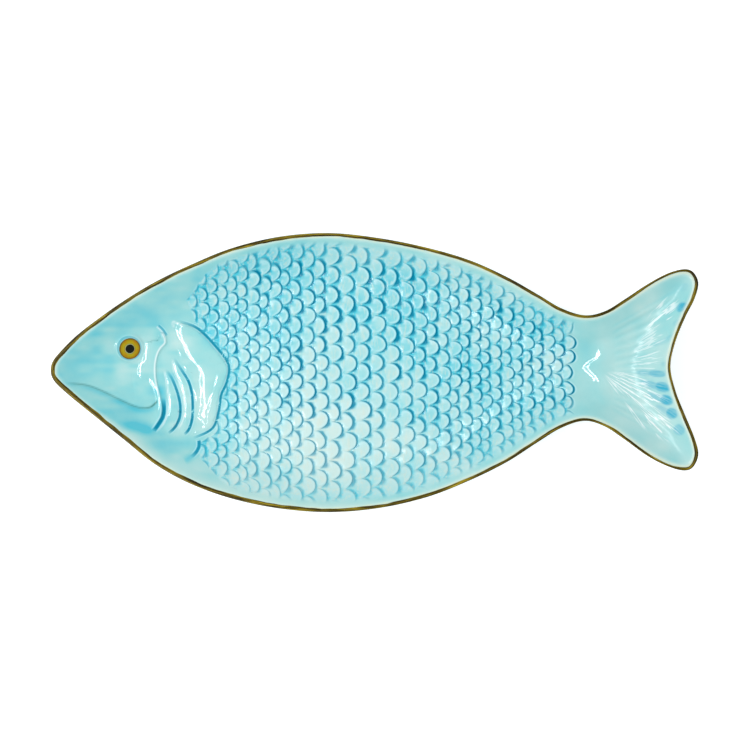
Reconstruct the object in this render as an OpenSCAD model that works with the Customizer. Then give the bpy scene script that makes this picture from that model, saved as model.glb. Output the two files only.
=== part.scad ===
/* [Overall size] */
// Length from the nose to the tips of the tail
platter_length = 400; // [280:1:480]
// Width across the belly
platter_width = 172.5; // [130:0.5:210]
// Height of the rim above the table
platter_height = 28; // [22:0.5:34]

/* [Shell] */
// Thickness of the floor of the dish
floor_thickness = 5; // [4:0.1:6]
// Width of the sloping wall inside the lip
wall_run = 34; // [27:0.5:40]
// Width of the sloping wall on the underside
underside_run = 33; // [26:0.5:35]
// How sharply the walls turn up towards the lip
wall_curl = 2.2; // [1.8:0.1:2.6]
// Width of the flat lip
lip_width = 3.4; // [2.8:0.1:4]
// Height of the upright face outside the lip
lip_face = 3.2; // [2.6:0.1:3.8]

/* [Rim band] */
// Width of the painted bead on the lip
band_width = 2.4; // [2:0.1:2.6]
// Height of the painted bead
band_height = 0.6; // [0.4:0.05:0.8]
// How far the bead stands out past the shell
band_overhang = 0.25; // [0.1:0.05:0.4]

/* [Foot] */
// Height of the foot under the floor
foot_height = 3; // [2.4:0.1:3.6]
// Width of the foot where it meets the floor
foot_width = 6; // [5:0.1:7.2]
// Narrowing of each side of the foot towards the table
foot_taper = 0.8; // [0.4:0.1:1.2]
// Length of the foot as a share of the platter length
foot_length_share = 0.5; // [0.4:0.01:0.52]
// Breadth of the foot as a share of the platter width
foot_breadth_share = 0.46; // [0.36:0.01:0.48]
// Middle of the foot along the platter length
foot_middle_share = 0.435; // [0.42:0.005:0.45]

/* [Scales] */
// Number of columns of scales from head to tail
scale_columns = 35; // [20:1:36]
// Free edge of the first and the last column along the length
scale_end_shares = [0.209, 0.809];
// How much wider the columns stand in the middle of the body
column_swell_share = 0.45; // [0:0.05:0.6]
// Widest column, as a share of the columns
column_peak_share = 0.46; // [0.3:0.02:0.6]
// Spread of the wide columns, as a share of the columns
column_spread_share = 0.13; // [0.08:0.01:0.2]
// Height of the free edge of a scale above the dish
scale_lift = 0.8; // [0.6:0.05:1]
// Depth of the scales below the surface at their outer limit
scale_root = 0.45; // [0.4:0.05:0.6]
// Height of the faintest scales next to the border, as a share of the full height
scale_faint_share = 0.3; // [0.2:0.05:0.5]
// Slope of the free edge, as a share of the length of a scale
step_slope_share = 0.1; // [0.05:0.01:0.15]
// Depth of the scallops, as a share of the distance between columns
scallop_share = 0.85; // [0.5:0.05:0.9]
// Width of the plain border between the lip and the scales
scale_border = 6.4; // [5.2:0.2:8]
// Width over which the scales rise to their full height
scale_fade = 11; // [8:0.5:14]
// Flats round the free edge of a scale
scale_flat_count = 4; // [2:2:6]
// Rows of scales to each side of the middle line
scale_rows = 9; // [5:1:9]
// Spacing of the rows, as a share of the width, along the length
row_pitch_shares = [
    [0.2, 0.056], [0.29, 0.058], [0.36, 0.067], [0.46, 0.07],
    [0.54, 0.068], [0.62, 0.057], [0.7, 0.052], [0.81, 0.055],
];
// Start of the scales along the length, for each place across the width
scale_start_shares = [
    [-0.45, 0.3], [-0.385, 0.26], [-0.313, 0.23], [-0.26, 0.224], [-0.215, 0.25],
    [-0.077, 0.27], [0.02, 0.282], [0.091, 0.262], [0.174, 0.226], [0.26, 0.212],
    [0.35, 0.235], [0.45, 0.29],
];

/* [Head] */
// Height of the edge of the gill cover
cover_lift = 1.7; // [1.4:0.1:2]
// Height of the rear edge of the cheek
cheek_lift = 1.3; // [1.1:0.1:1.5]
// Height of the two gill folds
fold_lift = 1.4; // [1.2:0.1:1.6]
// Width of the mouth line
mouth_width = 1.4; // [1.2:0.1:1.6]
// Depth of the mouth line
mouth_depth = 0.8; // [0.6:0.05:1]
// Depth to which raised parts are bedded in the shell
relief_bed = 1.2; // [1:0.1:1.4]

/* [Eye] */
// Middle of the eye along the length and across the width
eye_place_shares = [0.12, 0.088];
// Diameter of the coloured ring of the eye
iris_diameter = 13.2; // [11:0.1:15]
// Height of the coloured ring
iris_height = 0.7; // [0.5:0.05:0.8]
// Width of the slope round the coloured ring
iris_slope = 0.9; // [0.6:0.1:1.2]
// Diameter of the pupil
pupil_diameter = 5.5; // [4.5:0.1:6.4]
// Height of the pupil
pupil_height = 1; // [0.9:0.05:1.2]
// Height of the flat pad that carries the eye
eye_pad_lift = 1.5; // [1.2:0.1:1.8]
// Width of the pad outside the coloured ring
eye_pad_border = 0.9; // [0.7:0.1:1.2]

/* [Tail] */
// Number of rays in the tail
ray_count = 13; // [6:1:14]
// Height of a ray above the hollow beside it
ray_lift = 0.8; // [0.6:0.05:1]
// Height of the hollows between the rays above the dish
ray_base = 0.3; // [0.25:0.05:0.5]
// Places along a ray, from the root of the tail outwards
ray_station_shares = [0, 0.07, 0.3, 0.55, 0.8, 0.93, 1];

/* [Plan] */
// Back edge from the nose to the notch of the tail
back_edge_shares = [
    [0, 0.009], [0.003, 0.039], [0.014, 0.073], [0.039, 0.131], [0.0725, 0.1915],
    [0.113, 0.2575], [0.1605, 0.324], [0.2145, 0.3845], [0.279, 0.4455],
    [0.3535, 0.487], [0.4305, 0.5], [0.508, 0.4815], [0.582, 0.447],
    [0.647, 0.4025], [0.705, 0.342], [0.7515, 0.281], [0.7885, 0.231],
    [0.824, 0.206], [0.855, 0.22], [0.886, 0.263], [0.92, 0.315], [0.951, 0.354],
    [0.977, 0.3705], [0.992, 0.36], [1, 0.32], [0.994, 0.263], [0.98, 0.1985],
    [0.965, 0.1125], [0.957, 0.023],
];
// Distance across the width of the belly edge, for the same places
belly_edge_shares = [
    0.009, -0.0215, -0.052, -0.102, -0.1645, -0.24, -0.3275, -0.397, -0.451,
    -0.487, -0.5, -0.485, -0.4455, -0.3865, -0.32, -0.2505, -0.1985, -0.1735,
    -0.193, -0.24, -0.297, -0.3345, -0.351, -0.338, -0.2915, -0.2325, -0.154,
    -0.066, 0.023,
];
// Line down the middle of the dish, for the same places
middle_line_shares = [
    0.035, 0.045, 0.058, 0.075, 0.097, 0.125, 0.163, 0.2145, 0.279, 0.3535,
    0.4305, 0.508, 0.582, 0.647, 0.705, 0.7515, 0.7885, 0.82, 0.841, 0.855,
    0.866, 0.874, 0.88, 0.885, 0.889, 0.893, 0.897, 0.901, 0.906,
];
// Front edge of the gill cover
cover_front_shares = [
    [0.187, 0.181], [0.188, 0.134], [0.193, 0.088], [0.202, 0.027],
    [0.2145, -0.0375], [0.2205, -0.091], [0.2205, -0.159], [0.2145, -0.206],
    [0.207, -0.231],
];
// Rear edge of the gill cover
cover_rear_shares = [
    [0.194, 0.184], [0.224, 0.158], [0.25, 0.1], [0.272, 0.03], [0.27, -0.0305],
    [0.261, -0.08], [0.257, -0.14], [0.247, -0.2], [0.217, -0.234],
];
// Front edge of the raised part of the cheek
cheek_front_shares = [
    [0.16, 0.15], [0.147, 0.13], [0.138, 0.09], [0.135, 0.045], [0.127, 0.015],
    [0.124, -0.02], [0.127, -0.06], [0.128, -0.105], [0.128, -0.15],
    [0.126, -0.185], [0.132, -0.212],
];
// Rear edge of the raised part of the cheek
cheek_rear_shares = [
    [0.1675, 0.147], [0.1765, 0.132], [0.1765, 0.095], [0.165, 0.055],
    [0.162, 0.0125], [0.1635, -0.03], [0.1675, -0.069], [0.1715, -0.11],
    [0.1715, -0.15], [0.1635, -0.186], [0.15, -0.214],
];
// Front edge of the first gill fold
fold_one_front_shares = [
    [0.173, 0.009], [0.176, -0.023], [0.179, -0.0735], [0.18, -0.1165],
    [0.1785, -0.15], [0.173, -0.182], [0.165, -0.21],
];
// Rear edge of the first gill fold
fold_one_rear_shares = [
    [0.1745, 0.0125], [0.185, -0.023], [0.1935, -0.0735], [0.1975, -0.1165],
    [0.197, -0.159], [0.19, -0.195], [0.179, -0.218],
];
// Front edge of the second gill fold
fold_two_front_shares = [
    [0.1855, 0.052], [0.1895, 0.0055], [0.197, -0.0375], [0.203, -0.091],
    [0.2045, -0.145], [0.2, -0.185], [0.19, -0.215],
];
// Rear edge of the second gill fold
fold_two_rear_shares = [
    [0.187, 0.055], [0.2005, 0.0055], [0.2115, -0.0375], [0.2165, -0.091],
    [0.2165, -0.159], [0.2115, -0.202], [0.2035, -0.222],
];
// Line of the mouth from the lips to the cheek
mouth_line_shares = [
    [0.023, -0.0375], [0.054, -0.045], [0.0785, -0.066], [0.1035, -0.095],
    [0.125, -0.118], [0.139, -0.127], [0.153, -0.1235], [0.162, -0.1055],
];
// Inner ends of the tail rays, at the root of the tail
ray_inner_shares = [
    [0.862, 0.155], [0.866, 0.12], [0.868, 0.075], [0.87, 0.03],
    [0.87, -0.01], [0.868, -0.05], [0.866, -0.09], [0.862, -0.12],
];
// Outer ends of the tail rays
ray_outer_shares = [
    [0.972, 0.3], [0.965, 0.22], [0.95, 0.125], [0.936, 0.05],
    [0.936, -0.01], [0.947, -0.08], [0.96, -0.17], [0.97, -0.26],
];

/* [Hidden] */
// Points on a curve for each knot of its table
curve_step_count = 2;
// Knots of the back edge from the nose to the root of the tail
body_knot_count = 17;
// Sides of the mouth cut, of the eye pad and of the coloured ring
mouth_side_count = 6;
pad_side_count = 36;
ring_side_count = 48;
// Levels of the lip and of the floor above the table
lip_top = platter_height - band_height;
floor_top = foot_height + floor_thickness;
// Rise of the inner and of the outer wall
well_depth = lip_top - floor_top;
outer_depth = lip_top - lip_face - foot_height;
// Middle of the platter along its length
centre_share = 0.5;
// Rings of the inner and of the outer wall, and how near they come to the middle line
wall_ring_shares = [0.09, 0.2, 0.33, 0.48, 0.65, 0.82, 1];
under_ring_shares = [0.2, 0.5, 1];
ring_reach_share = 0.9;
// Section of the rim bead, across its width and up its height
bead_shares = [[0, 0], [0, 0.45], [0.25, 1], [0.75, 1], [1, 0.45], [1, 0]];
// Short step along the dish that measures its slope
probe = lip_width / 10;
// Depth of the edges of a raised strip below the dish, as a share of its height
sink_share = 0.35;
// Sections of a plate that steps down at its rear, and of a rounded fold
step_section_shares = [[0, -sink_share], [0.3, 0.55], [0.7, 0.95], [0.93, 1], [1, -sink_share]];
fold_section_shares = [[0, -sink_share], [0.3, 0.8], [0.7, 1], [1, -sink_share]];
// Part of the border across which the scales come up through the dish
surfacing_share = 0.5;
// Height of the head end of a scale above the dish, as a share of its root
scale_head_share = 2 / 3;
// How much lower the free edge of a scale is where two scales meet
scale_corner_share = 1 / 3;
// Outer limit of the lattice of scales beyond their field, and least reach into it, by the border
lattice_reach_share = 0.8;
lattice_least_share = 0.125;

function clamp(v, lo, hi) = max(lo, min(hi, v));
function plan(s) = [(s[0] - centre_share) * platter_length, s[1] * platter_width];
function length_share(x) = x / platter_length + centre_share;
function blend(a, b, c, d, t) =
    b + (c - a) * t / 2 + (2 * a - 5 * b + 4 * c - d) * t * t / 2
    + (3 * b - a - 3 * c + d) * t * t * t / 2;
function pick(k, i) = k[clamp(i, 0, len(k) - 1)];
function curve(k, steps) = concat(
    [for (i = [0 : len(k) - 2], s = [0 : steps - 1])
        blend(pick(k, i - 1), k[i], k[i + 1], pick(k, i + 2), s / steps)],
    [k[len(k) - 1]]);
function loop(k, steps) = let (n = len(k)) [
    for (i = [0 : n - 1], s = [0 : steps - 1])
        blend(k[(i + n - 1) % n], k[i], k[(i + 1) % n], k[(i + 2) % n], s / steps)];
function along(line, t) = let (
    at = clamp(t, 0, 1) * (len(line) - 1), i = min(floor(at), len(line) - 2))
    line[i] + (line[i + 1] - line[i]) * (at - i);
function unit(v) = v / norm(v);
function total(v) = v * [for (i = v) 1];

last_knot = len(back_edge_shares) - 1;
body_back_shares = [for (i = [0 : body_knot_count]) back_edge_shares[i]];
body_belly_shares = [for (i = [0 : body_knot_count])
    [back_edge_shares[i][0], belly_edge_shares[i]]];
edge_knots = concat(
    [for (s = back_edge_shares) plan(s)],
    [for (i = [last_knot - 1 : -1 : 1])
        plan([back_edge_shares[i][0], belly_edge_shares[i]])]);
edge = loop(edge_knots, curve_step_count);
edge_count = len(edge);
half_count = edge_count / 2;
middle_x = curve([for (s = middle_line_shares) plan([s, 0])[0]], curve_step_count);
middle_line = [for (i = [0 : half_count])
    [middle_x[i], (edge[i][1] + edge[(edge_count - i) % edge_count][1]) / 2]];

// One side of the outline as start, direction and length
sides = [for (i = [0 : edge_count - 1]) let (d = edge[(i + 1) % edge_count] - edge[i])
    [edge[i], unit(d), norm(d)]];
inward = [for (i = [0 : edge_count - 1]) let (
    d = unit(edge[(i + 1) % edge_count] - edge[(i + edge_count - 1) % edge_count]))
    [d[1], -d[0]]];

// Rounded distance from the outline: every side of it pushes on the point
function push(side, p) = let (
    a = side[0] - p, s = a * side[1], e = s + side[2],
    h = max(a * a - s * s, probe * probe))
    (e / sqrt(h + e * e) - s / sqrt(h + s * s)) / h;
function inset(p) = sqrt(2 / total([for (side = sides) push(side, p)]));
function rise(d, run) = pow(clamp(1 - d / run, 0, 1), wall_curl);
function dish(p) = floor_top + well_depth * rise(inset(p) - lip_width, wall_run);
function under(p) = foot_height + outer_depth * rise(inset(p), underside_run);

function middle_of(i) = middle_line[i <= half_count ? i : edge_count - i];
function station(i, share) = let (
    a = edge[i] + inward[i] * lip_width, b = middle_of(i), d = norm(b - a),
    in_tail = min(i, edge_count - i) > body_knot_count * curve_step_count,
    reach = in_tail ? d * ring_reach_share : min(wall_run, d * ring_reach_share))
    a + (b - a) * reach * share / d;
function ring_faces(first, count) = [for (i = [0 : count - 1]) let (j = (i + 1) % count)
    [first + i, first + j, first + count + j, first + count + i]];
function flip(faces) = [for (f = faces) [for (i = [len(f) - 1 : -1 : 0]) f[i]]];
function lifted(points, z) = [for (p = points) [p[0], p[1], z]];
function middle_faces(ring, spine) = [for (i = [0 : edge_count - 1]) let (
    j = (i + 1) % edge_count,
    si = i <= half_count ? i : edge_count - i, sj = j <= half_count ? j : edge_count - j)
    [ring + i, ring + j, spine + sj, spine + si]];

// Strip that wraps round a closed loop of equal sections
module hoop(sections) {
    n = len(sections);
    m = len(sections[0]);
    polyhedron(
        points = [for (s = sections) each s],
        faces = [for (i = [0 : n - 1], j = [0 : m - 1]) let (
            a = (i + 1) % n, b = (j + 1) % m)
            [i * m + j, a * m + j, a * m + b, i * m + b]]);
}

// Solid sheet laid on the dish: rows of points, each with its lift above the surface
module sheet(rows) {
    n = len(rows);
    m = len(rows[0]);
    tops = [for (r = rows, p = r) [p[0], p[1], dish([p[0], p[1]]) + p[2]]];
    beds = [for (p = tops) [p[0], p[1], dish([p[0], p[1]]) - relief_bed]];
    top_faces = [for (i = [0 : n - 2], j = [0 : m - 2])
        [i * m + j, i * m + j + 1, i * m + m + j + 1, i * m + m + j]];
    rim = concat(
        [for (j = [0 : m - 1]) j],
        [for (i = [1 : n - 1]) i * m + m - 1],
        [for (j = [m - 2 : -1 : 0]) (n - 1) * m + j],
        [for (i = [n - 2 : -1 : 1]) i * m]);
    rim_faces = [for (i = [0 : len(rim) - 1]) let (j = (i + 1) % len(rim))
        [rim[j], rim[i], rim[i] + n * m, rim[j] + n * m]];
    bed_faces = flip([for (f = top_faces) [for (v = f) v + n * m]]);
    polyhedron(points = concat(tops, beds),
        faces = concat(top_faces, bed_faces, rim_faces));
}

// Raised strip between two lines, fading out at both ends
module drape(front, rear, lifts, height) {
    a = curve([for (s = front) plan(s)], curve_step_count);
    b = curve([for (s = rear) plan(s)], curve_step_count);
    last = len(a) - 1;
    sheet([for (i = [0 : last]) let (end = sqrt(sin(180 * i / last)))
        [for (l = lifts) [each a[i] + (b[i] - a[i]) * l[0],
            height * (l[1] * end - sink_share * (1 - end))]]]);
}

module shell() {
    lip = [for (i = [0 : edge_count - 1]) edge[i] + inward[i] * band_overhang];
    brim = [for (i = [0 : edge_count - 1]) edge[i] + inward[i] * lip_width];
    walls = [for (s = wall_ring_shares) [for (i = [0 : edge_count - 1]) let (
        p = station(i, s)) [p[0], p[1], dish(p)]]];
    unders = [for (s = under_ring_shares) [for (i = [0 : edge_count - 1]) let (
        p = station(i, s)) [p[0], p[1], under(p)]]];
    top_middle = [for (p = middle_line) [p[0], p[1], dish(p)]];
    under_middle = [for (p = middle_line) [p[0], p[1], under(p)]];
    rings = [lifted(lip, lip_top), lifted(brim, lip_top), each walls];
    low_rings = [lifted(lip, lip_top - lip_face), each unders];
    low = len(rings) * edge_count;
    spine = low + len(low_rings) * edge_count;
    low_spine = spine + len(top_middle);
    polyhedron(
        points = concat([for (r = rings) each r], [for (r = low_rings) each r],
            top_middle, under_middle),
        faces = concat(
            [for (r = [0 : len(rings) - 2]) each ring_faces(r * edge_count, edge_count)],
            middle_faces(low - edge_count, spine),
            flip([for (r = [0 : len(low_rings) - 2])
                each ring_faces(low + r * edge_count, edge_count)]),
            flip(middle_faces(spine - edge_count, low_spine)),
            [for (i = [0 : edge_count - 1]) let (j = (i + 1) % edge_count)
                [i, low + i, low + j, j]]));
}

// Puts a part on the dish, square to its surface and pointing at the tail
module seated(p) {
    z = dish(p);
    along_x = [probe, 0, dish(p + [probe, 0]) - z];
    along_y = [0, probe, dish(p + [0, probe]) - z];
    w = unit(cross(along_x, along_y));
    u = unit(along_x);
    v = cross(w, u);
    multmatrix([
        [u[0], v[0], w[0], p[0]], [u[1], v[1], w[1], p[1]],
        [u[2], v[2], w[2], z], [0, 0, 0, 1]]) children();
}

gap_weights = [for (i = [0 : scale_columns - 2]) 1 + column_swell_share * exp(
    -pow(((i + 0.5) / scale_columns - column_peak_share) / column_spread_share, 2))];
function weight_to(i) = i <= 0 ? 0 : gap_weights[i - 1] + weight_to(i - 1);
all_weights = total(gap_weights);
column_x = [for (i = [0 : scale_columns - 1]) let (t = weight_to(i) / all_weights)
    plan(scale_end_shares * [[1 - t, 0], [t, 0]])[0]];
column_pitch = [for (x = column_x)
    lookup(length_share(x), row_pitch_shares) * platter_width];
column_gap = [for (i = [0 : scale_columns - 1])
    let (j = max(i, 1)) column_x[j] - column_x[j - 1]];

// Point number k on the scalloped free edge of column i, and how upright the edge is there
function scallop(i, k) = let (
    odd = (scale_columns - i) % 2, u = k / scale_flat_count - odd / 2,
    a = 180 * (u - floor(u)) - 90, bow = min(column_pitch[i] / 2, column_gap[i] * scallop_share))
    [column_x[i] - bow * (1 - cos(a)),
        column_pitch[i] * (floor(u) + (1 + odd + sin(a)) / 2), cos(a)];
// Distance inside the field of scales
function field(p) = min(inset(p) - lip_width - scale_border,
    max(-scale_border / 2,
        p[0] - plan([lookup(p[1] / platter_width, scale_start_shares), 0])[0]));
// Height of the head end of a scale, and of its free edge
function low_lift(f) = scale_root
    * (clamp(f / (scale_border * surfacing_share), 0, 1) * (1 + scale_head_share) - 1);
function free_lift(f, upright) = low_lift(f) + scale_lift
    * clamp(f / scale_fade, scale_faint_share, 1) * (1 - scale_corner_share * (1 - upright));
// Points of one edge, as place, dish height, low lift and free lift
function scale_edge(i) = [for (k = [-half_rows : half_rows]) let (
    s = scallop(i, k), p = [s[0], s[1]],
    t = length_share(p[0]), w = p[1] / platter_width,
    inside = w < lookup(t, body_back_shares) && w > lookup(t, body_belly_shares),
    f = inside ? field(p) : -platter_width, z = inside ? dish(p) : 0)
    [p, z, z + low_lift(f), z + free_lift(f, s[2]), f]];
half_rows = scale_rows * scale_flat_count;

// Every tile of the lattice reaches from one free edge to the next
module scale_field() {
    edges = [for (i = [0 : scale_columns - 1]) scale_edge(i)];
    outermost = -scale_border * lattice_reach_share;
    least = scale_border * lattice_least_share;
    for (i = [1 : scale_columns - 1], k = [0 : half_rows * 2 - 1]) {
        a = edges[i - 1][k];
        b = edges[i - 1][k + 1];
        c = edges[i][k + 1];
        d = edges[i][k];
        if (min(a[4], b[4], c[4], d[4]) > outermost && max(c[4], d[4]) > least)
            polyhedron(
                points = [
                    [each a[0], a[2]], [each b[0], b[2]], [each c[0], c[2]], [each d[0], d[2]],
                    [each c[0] + (b[0] - c[0]) * step_slope_share, c[3]],
                    [each d[0] + (a[0] - d[0]) * step_slope_share, d[3]],
                    [each a[0], a[1] - relief_bed], [each b[0], b[1] - relief_bed],
                    [each c[0], c[1] - relief_bed], [each d[0], d[1] - relief_bed]],
                faces = [[0, 1, 4, 5], [5, 4, 2, 3], [3, 2, 8, 9], [9, 8, 7, 6],
                    [1, 0, 6, 7], [0, 5, 3, 9, 6], [1, 7, 8, 2, 4]]);
    }
}

module head_relief() {
    drape(cheek_front_shares, cheek_rear_shares, step_section_shares, cheek_lift);
    drape(cover_front_shares, cover_rear_shares, step_section_shares, cover_lift);
    drape(fold_one_front_shares, fold_one_rear_shares, fold_section_shares, fold_lift);
    drape(fold_two_front_shares, fold_two_rear_shares, fold_section_shares, fold_lift);
}

module tail_rays() {
    lines = ray_count * 2;
    inner = curve(ray_inner_shares, curve_step_count);
    outer = curve(ray_outer_shares, curve_step_count);
    sheet([for (i = [0 : lines]) let (
        a = plan(along(inner, i / lines)), b = plan(along(outer, i / lines)))
        [for (t = ray_station_shares) let (
            end = min(t, 1 - t, i, lines - i) == 0, ridge = i % 2 * sin(180 * t))
            [each a + (b - a) * t, end ? -scale_root : ray_base + ray_lift * ridge]]]);
}

// Tapered cut whose width is mouth_width at the surface, carried on above it
module mouth_line() {
    line = curve([for (s = mouth_line_shares) plan(s)], curve_step_count);
    for (i = [0 : len(line) - 2])
        hull() for (p = [line[i], line[i + 1]])
            translate([p[0], p[1], dish(p) - mouth_depth])
                cylinder(h = mouth_depth * 2, d1 = probe, d2 = mouth_width * 2,
                    $fn = mouth_side_count);
}

eye_place = plan(eye_place_shares);
eye_pad_top = iris_diameter + eye_pad_border * 2;
eye_pad_foot = eye_pad_top + eye_pad_border * 2;

module eye_pad() {
    seated(eye_place) translate([0, 0, -relief_bed])
        cylinder(h = relief_bed + eye_pad_lift, d1 = eye_pad_foot, d2 = eye_pad_top,
            $fn = pad_side_count);
}

module platter_body() {
    color([0.62, 0.85, 0.86]) difference() {
        union() {
            shell();
            scale_field();
            head_relief();
            tail_rays();
            eye_pad();
        }
        mouth_line();
    }
}

module rim_band() {
    color([0.45, 0.37, 0.16]) hoop([for (i = [0 : edge_count - 1])
        [for (s = bead_shares) let (p = edge[i] + inward[i] * s[0] * band_width)
            [p[0], p[1], lip_top + s[1] * band_height]]]);
}

module eye_iris() {
    color([0.8, 0.58, 0.22]) seated(eye_place) translate([0, 0, eye_pad_lift])
        difference() {
            union() {
                cylinder(h = iris_height / 2, d = iris_diameter, $fn = ring_side_count);
                translate([0, 0, iris_height / 2]) cylinder(h = iris_height / 2,
                    d1 = iris_diameter, d2 = iris_diameter - iris_slope * 2,
                    $fn = ring_side_count);
            }
            translate([0, 0, -iris_height]) cylinder(h = iris_height * 3,
                d = pupil_diameter, $fn = ring_side_count);
        }
}

module eye_pupil() {
    color([0.05, 0.06, 0.07]) seated(eye_place) translate([0, 0, eye_pad_lift])
        cylinder(h = pupil_height, d = pupil_diameter, $fn = ring_side_count);
}

module foot_ring() {
    long = platter_length * foot_length_share / 2;
    broad = platter_width * foot_breadth_share / 2;
    middle = plan([foot_middle_share, 0]);
    color([0.86, 0.8, 0.7]) hoop([for (i = [0 : edge_count - 1]) let (
        a = -360 * i / edge_count, out = [cos(a), sin(a)])
        [for (s = [[foot_width, foot_height], [foot_width - foot_taper, 0],
                [foot_taper, 0], [0, foot_height]])
            [middle[0] + out[0] * (long - s[0]), middle[1] + out[1] * (broad - s[0]), s[1]]]]);
}

platter_body();
rim_band();
eye_iris();
eye_pupil();
foot_ring();
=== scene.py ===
import math

import bpy
import numpy as np
from mathutils import Matrix, Vector


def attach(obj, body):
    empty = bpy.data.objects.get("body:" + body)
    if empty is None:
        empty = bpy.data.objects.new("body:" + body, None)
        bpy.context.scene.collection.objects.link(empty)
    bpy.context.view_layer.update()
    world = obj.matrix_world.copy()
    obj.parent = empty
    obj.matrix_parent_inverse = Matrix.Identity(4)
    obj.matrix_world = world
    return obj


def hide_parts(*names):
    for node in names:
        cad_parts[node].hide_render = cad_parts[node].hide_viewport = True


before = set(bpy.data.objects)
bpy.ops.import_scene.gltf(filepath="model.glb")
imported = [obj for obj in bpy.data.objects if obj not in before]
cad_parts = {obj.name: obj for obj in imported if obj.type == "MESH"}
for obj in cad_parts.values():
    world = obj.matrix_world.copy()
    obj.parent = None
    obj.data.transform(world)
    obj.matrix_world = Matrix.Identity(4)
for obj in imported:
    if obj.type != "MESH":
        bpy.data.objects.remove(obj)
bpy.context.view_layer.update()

mm = 0.001  # every length below is in millimetres unless its note says otherwise

platter = {
    "length": 400.0,
    "width": 172.5,
    "lipTop": 27.4,
    "lipWidth": 3.4,
    "lipRound": 1.3,
    "floorTop": 8.0,
    "wallRun": 34.0,  # how far the wall reaches in from the lip
    "wallCurl": 2.2,  # how late the wall turns up
    "shellInset": 0.3,  # the glaze starts this far inside the outline
    # back edge from the nose to the notch of the tail: share of the length, share of the width
    "backEdge": [
        (0, 0.009), (0.003, 0.039), (0.014, 0.073), (0.039, 0.131), (0.0725, 0.1915),
        (0.113, 0.2575), (0.1605, 0.324), (0.2145, 0.3845), (0.279, 0.4455),
        (0.3535, 0.487), (0.4305, 0.5), (0.508, 0.4815), (0.582, 0.447),
        (0.647, 0.4025), (0.705, 0.342), (0.7515, 0.281), (0.7885, 0.231),
        (0.824, 0.206), (0.855, 0.22), (0.886, 0.263), (0.92, 0.315), (0.951, 0.354),
        (0.977, 0.3705), (0.992, 0.36), (1, 0.32), (0.994, 0.263), (0.98, 0.1985),
        (0.965, 0.1125), (0.957, 0.023),
    ],
    # belly edge: share of the width at the same shares of the length
    "bellyEdge": [
        0.009, -0.0215, -0.052, -0.102, -0.1645, -0.24, -0.3275, -0.397, -0.451,
        -0.487, -0.5, -0.485, -0.4455, -0.3865, -0.32, -0.2505, -0.1985, -0.1735,
        -0.193, -0.24, -0.297, -0.3345, -0.351, -0.338, -0.2915, -0.2325, -0.154,
        -0.066, 0.023,
    ],
}


def plan(places):
    # shares of the length and width to millimetres from the middle
    p = np.array(places, float).reshape(-1, 2)
    return np.stack([(p[:, 0] - 0.5) * platter["length"], p[:, 1] * platter["width"]], 1)


def between(before, start, end, after, t):
    return (start + (end - before) * t / 2 + (2 * before - 5 * start + 4 * end - after) * t * t / 2
            + (3 * start - before - 3 * end + after) * t ** 3 / 2)


def openCurve(places, steps=10):
    p = plan(places)
    q = np.vstack([p[:1], p, p[-1:]])
    out = [between(q[i], q[i + 1], q[i + 2], q[i + 3], s / steps)
           for i in range(len(p) - 1) for s in range(steps)]
    return np.array(out + [p[-1]])


def closedCurve(p, steps):
    n = len(p)
    return np.array([between(p[i - 1], p[i], p[(i + 1) % n], p[(i + 2) % n], s / steps)
                     for i in range(n) for s in range(steps)])


def inwardOf(curve):
    d = np.roll(curve, -1, axis=0) - np.roll(curve, 1, axis=0)
    d /= np.linalg.norm(d, axis=1)[:, None]
    return np.stack([d[:, 1], -d[:, 0]], 1)


bellyPlaces = [(back[0], belly) for back, belly in zip(platter["backEdge"], platter["bellyEdge"])]
outlineKnots = plan(platter["backEdge"] + bellyPlaces[-2:0:-1])
outline = closedCurve(outlineKnots, 24)
outlineIn = inwardOf(outline)
coarseOutline = closedCurve(outlineKnots, 3)


def smooth(t):
    # 0 below 0, 1 above 1
    t = np.clip(t, 0, 1)
    return t * t * (3 - 2 * t)


def hump(t):
    # 1 at 0, almost gone at 2
    return np.exp(-t ** 2)


def inset(p, atOnce=4000):
    # rounded distance from the outline: all of its sides push on the point
    out = np.empty(len(p))
    side = np.roll(coarseOutline, -1, axis=0) - coarseOutline
    long = np.linalg.norm(side, axis=1)
    side = side / long[:, None]
    for k in range(0, len(p), atOnce):
        toStart = coarseOutline[None] - p[k:k + atOnce, None]
        s = (toStart * side).sum(2)
        e = s + long
        h = np.maximum((toStart * toStart).sum(2) - s * s, 0.1)
        push = (e / np.sqrt(h + e * e) - s / np.sqrt(h + s * s)) / h
        out[k:k + atOnce] = np.sqrt(2 / push.sum(1))
    return out


def rise(d, run):
    return np.clip(1 - d / run, 0, 1) ** platter["wallCurl"]


def dishHeight(p, rimGap=None):
    d = (inset(p) if rimGap is None else rimGap) - platter["lipWidth"]
    depth = platter["lipTop"] - platter["floorTop"]
    z = platter["floorTop"] + depth * rise(d, platter["wallRun"])
    w = platter["lipRound"]
    slope = depth * platter["wallCurl"] / platter["wallRun"]
    rounded = platter["lipTop"] - slope * (d + w) ** 2 / (4 * w)
    return np.where(np.abs(d) < w, np.minimum(z, rounded), z)


def insideOf(p, ring):
    x, y = p.T
    odd = np.zeros(len(p), bool)
    for (ax, ay), (bx, by) in zip(ring, np.roll(ring, -1, axis=0)):
        if ay != by:
            odd ^= ((ay > y) != (by > y)) & (x < (bx - ax) * (y - ay) / (by - ay) + ax)
    return odd


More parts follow.
